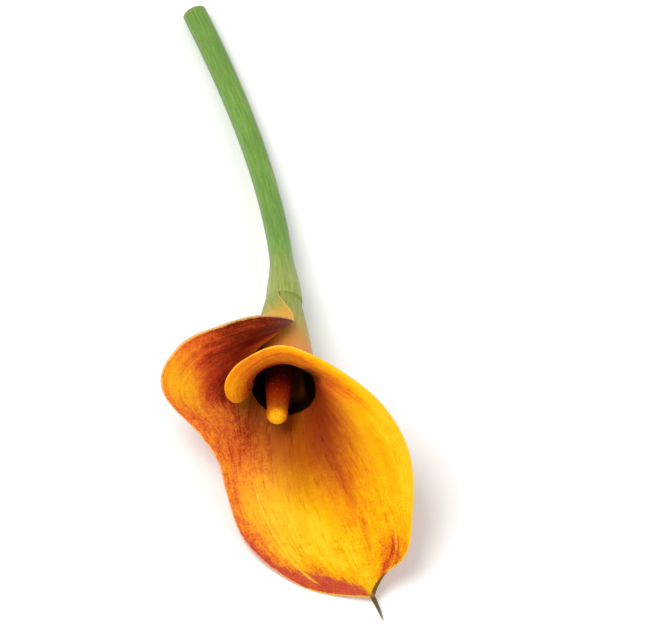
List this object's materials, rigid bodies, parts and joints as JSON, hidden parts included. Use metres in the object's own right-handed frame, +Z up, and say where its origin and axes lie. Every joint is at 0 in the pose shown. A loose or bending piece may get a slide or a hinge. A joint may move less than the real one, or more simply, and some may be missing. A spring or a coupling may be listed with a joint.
{
  "type": "arum lily flower",
  "caption": "Single cut arum lily flower: a rolled, flared spathe with a hooked tip and a rolled collar round a slender spadix, on a curved stem, laid on its back.",
  "frame": {"origin": "on the surface the flower lies on, under the middle of its bounding box", "axes": "+Z up, +Y towards the cut end of the stem, -Y towards the tip of the bloom, +X to the right seen from over the bloom"},
  "size_m": [0.0892, 0.2561, 0.056],
  "materials": {
    "spathe": "waxy satin, golden yellow veined and flushed with orange red",
    "spadix": "matte, granular with small florets, golden yellow over orange brown",
    "stem": "smooth satin mid green with faint lengthwise streaks, pale where it is cut"
  },
  "bodies": {
    "root": {"spathe": "spathe", "spadix": "spadix", "stem": "stem"}
  },
  "joints": []
}
